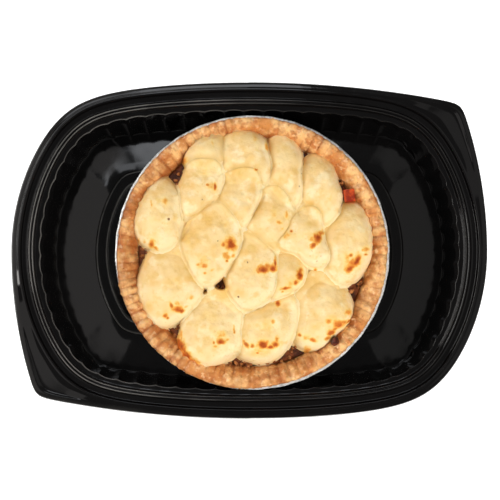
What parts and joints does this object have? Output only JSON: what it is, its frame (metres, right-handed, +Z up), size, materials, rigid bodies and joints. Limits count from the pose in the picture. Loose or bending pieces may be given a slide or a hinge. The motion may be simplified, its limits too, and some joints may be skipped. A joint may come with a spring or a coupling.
{
  "type": "shepherds pie in a foil tin and meal tray",
  "caption": "Small round shepherds pie with piped, scorched mashed potato in a pastry case and foil tin, standing in an oblong black plastic meal tray.",
  "frame": {"origin": "middle of the underside of the tray, on the surface that it stands on", "axes": "+X along the tray's long way, +Y across it, +Z up"},
  "size_m": [0.266, 0.1884, 0.0467],
  "materials": {
    "tray_plastic": "glossy black, thermoformed",
    "tin_foil": "bright crinkled foil",
    "pastry": "baked golden shortcrust",
    "meat_filling": "minced meat in thick gravy",
    "mashed_potato": "smooth mash, scorched in spots",
    "carrot": "cooked, moist"
  },
  "bodies": {
    "root": {"tray": "tray_plastic", "foil_tin": "tin_foil", "pastry_case": "pastry", "filling": "meat_filling", "potato_dollop_01": "mashed_potato", "potato_dollop_02": "mashed_potato", "potato_dollop_03": "mashed_potato", "potato_dollop_04": "mashed_potato", "potato_dollop_05": "mashed_potato", "potato_dollop_06": "mashed_potato", "potato_dollop_07": "mashed_potato", "potato_dollop_08": "mashed_potato", "potato_dollop_09": "mashed_potato", "potato_dollop_10": "mashed_potato", "potato_dollop_11": "mashed_potato", "potato_dollop_12": "mashed_potato", "potato_dollop_13": "mashed_potato", "potato_dollop_14": "mashed_potato", "potato_dollop_15": "mashed_potato", "potato_dollop_16": "mashed_potato", "potato_dollop_17": "mashed_potato", "carrot_die": "carrot", "mince_crumb": "meat_filling"}
  },
  "joints": []
}
